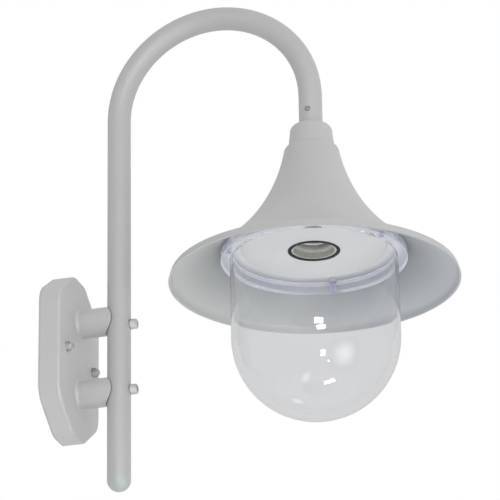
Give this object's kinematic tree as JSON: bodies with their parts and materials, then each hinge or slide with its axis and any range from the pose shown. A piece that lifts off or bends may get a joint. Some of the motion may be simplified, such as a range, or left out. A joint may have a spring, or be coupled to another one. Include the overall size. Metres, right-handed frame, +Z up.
{
  "type": "outdoor wall lamp",
  "caption": "Outdoor wall lamp: a bent tube on a faceted wall plate carries a flared metal shade with a clear dome hanging below it.",
  "frame": {"origin": "middle of the wall plate's back, on the wall plane", "axes": "+Z up, +Y into the wall, +X to the right seen from the front"},
  "size_m": [0.2372, 0.3372, 0.4199],
  "materials": {
    "white_paint": "satin white powder coat",
    "white_plastic": "soft white moulded plastic",
    "reflector_white": "smooth white enamel",
    "clear_plastic": "clear polished acrylic",
    "porcelain": "glazed porcelain",
    "black_plastic": "black moulded plastic",
    "black_rubber": "black silicone rubber",
    "grey_foam": "light grey closed-cell foam",
    "stainless_steel": "bright stainless steel",
    "dull_steel": "dull grey steel",
    "zinc_steel": "zinc-plated steel",
    "blue_zinc": "blue passivated zinc",
    "brass": "plain brass",
    "nickel_brass": "nickel-plated brass",
    "natural_nylon": "natural nylon",
    "flex_sheath": "white sheathed flex",
    "brown_core": "brown insulated core",
    "blue_core": "blue insulated core",
    "green_core": "green and yellow insulated core"
  },
  "bodies": {
    "lamp": {"wall_plate": "white_paint", "wall_gasket": "grey_foam", "mounting_strap": "zinc_steel", "strap_studs": "zinc_steel", "plate_washers": "dull_steel", "cap_nuts": "stainless_steel", "terminal_block": "natural_nylon", "terminal_barrels": "brass", "terminal_screws": "zinc_steel", "block_screws": "zinc_steel", "cord_clamp": "black_plastic", "clamp_screws": "zinc_steel", "earth_tag": "brass", "earth_screw": "brass", "inner_flex": "flex_sheath", "live_core_ends": "brown_core", "neutral_core_ends": "blue_core", "earth_lead": "green_core", "arm_tube": "white_paint", "tube_end_plug": "white_plastic", "arm_washers": "stainless_steel", "arm_bolts": "stainless_steel", "neck_cap": "white_paint", "neck_screw": "stainless_steel", "threaded_nipple": "zinc_steel", "shade_washer": "zinc_steel", "shade_nut": "zinc_steel", "bracket_nuts": "zinc_steel", "shade": "white_paint", "holder_body": "porcelain", "thread_shell": "nickel_brass", "holder_ring": "black_rubber", "reflector_plate": "reflector_white", "contact_rivet": "brass", "holder_bracket": "zinc_steel", "bracket_screws": "zinc_steel", "holder_terminals": "brass", "holder_terminal_screws": "zinc_steel"},
    "dome": {"dome": "clear_plastic", "dome_screws": "blue_zinc"},
    "contact": {"centre_contact": "brass"}
  },
  "joints": [
    {"name": "dome_drop", "type": "slide", "parent": "lamp", "child": "dome", "axis": [0, 0, -1], "range_m": [0, 0.15]},
    {"name": "contact_press", "type": "slide", "parent": "lamp", "child": "contact", "axis": [0, 0, 1], "range_m": [0, 0.0015], "stiffness_N_per_m": 2000}
  ]
}
